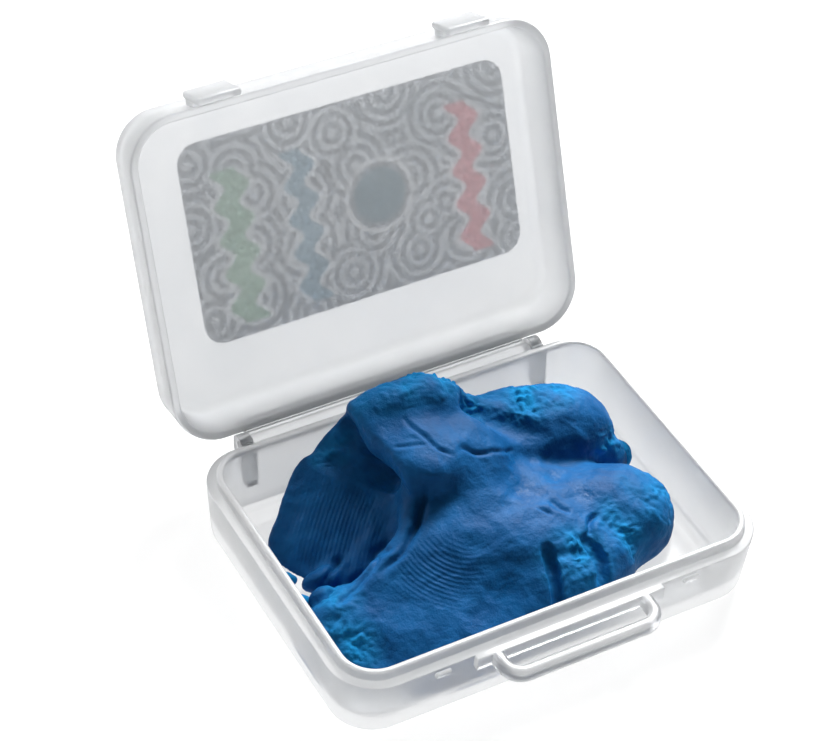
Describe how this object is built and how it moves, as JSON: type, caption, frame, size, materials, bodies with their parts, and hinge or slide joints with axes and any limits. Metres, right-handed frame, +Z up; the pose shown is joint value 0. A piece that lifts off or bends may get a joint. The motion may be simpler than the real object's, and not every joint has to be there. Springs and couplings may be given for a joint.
{
  "type": "hinged pocket case with putty",
  "caption": "Small frosted snap case with a hinged lid, a moulded carry loop, a label on the lid and a kneaded lump of blue putty inside.",
  "frame": {"origin": "middle of the base's underside", "axes": "+Z up, +X along the hinge, the carry loop faces -Y and the hinge is at +Y"},
  "size_m": [0.06, 0.0742, 0.0519],
  "materials": {
    "frosted_plastic": "frosted, translucent",
    "label_paper": "printed, matt",
    "putty": "soft, kneaded, slightly damp"
  },
  "bodies": {
    "base": {"base_tray": "frosted_plastic", "carry_loop": "frosted_plastic", "hinge_ears": "frosted_plastic", "snap_bumps": "frosted_plastic", "putty_lump": "putty", "putty_chunk": "putty", "putty_crumbs": "putty"},
    "lid": {"lid_shell": "frosted_plastic", "lid_hinge": "frosted_plastic", "latch_lugs": "frosted_plastic", "lid_label": "label_paper"}
  },
  "joints": [
    {"name": "lid_turn", "type": "hinge", "parent": "base", "child": "lid", "pos_m": [0, 0.0231, 0.0081], "axis": [1, 0, 0], "range_deg": [0, 111.7], "deforming": ["putty_lump"]}
  ]
}
